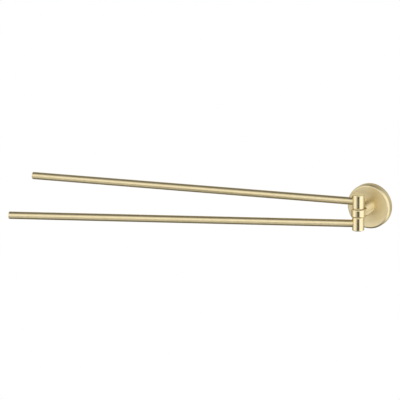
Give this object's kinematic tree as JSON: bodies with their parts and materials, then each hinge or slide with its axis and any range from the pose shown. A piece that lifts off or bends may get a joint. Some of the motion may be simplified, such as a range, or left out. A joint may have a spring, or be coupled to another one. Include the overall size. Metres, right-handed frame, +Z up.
{
  "type": "swing arm towel bar",
  "caption": "Wall-mounted towel bar: a round rose and neck carry an upright pivot, on which straight round arms swing sideways one above the other, held by friction.",
  "frame": {"origin": "centre of the bracket's and rose's back face, on the wall surface", "axes": "+Z up, +Y into the wall and square to it, -Y into the room; at rest the arms point towards -X"},
  "size_m": [0.4469, 0.1815, 0.054],
  "materials": {
    "brushed_gold": "brushed champagne gold plating over brass, satin",
    "zinc_steel": "bright zinc-plated steel",
    "black_steel": "black oxide steel",
    "nylon": "natural nylon, matte"
  },
  "bodies": {
    "wall_side": {"rose_cover": "brushed_gold", "wall_bracket": "zinc_steel", "rose_grub_screw": "black_steel", "neck_post": "brushed_gold", "neck_screw": "zinc_steel", "pivot_collar": "brushed_gold", "pivot_shaft": "zinc_steel", "upper_friction_washer": "nylon", "upper_spring_washer": "zinc_steel", "upper_lock_nut": "zinc_steel", "lower_friction_washer": "nylon", "lower_spring_washer": "zinc_steel", "lower_lock_nut": "zinc_steel"},
    "upper_arm": {"upper_hub": "brushed_gold", "upper_bush": "nylon", "upper_hub_cap": "brushed_gold", "upper_arm_tube": "brushed_gold", "upper_end_cap": "brushed_gold"},
    "lower_arm": {"lower_hub": "brushed_gold", "lower_bush": "nylon", "lower_hub_cap": "brushed_gold", "lower_arm_tube": "brushed_gold", "lower_end_cap": "brushed_gold"}
  },
  "joints": [
    {"name": "upper_arm_swing", "type": "hinge", "parent": "wall_side", "child": "upper_arm", "pos_m": [0, -0.04, 0.0134], "axis": [0, 0, 1], "range_deg": [-6, 174]},
    {"name": "lower_arm_swing", "type": "hinge", "parent": "wall_side", "child": "lower_arm", "pos_m": [0, -0.04, -0.0134], "axis": [0, 0, 1], "range_deg": [-19, 161]}
  ]
}
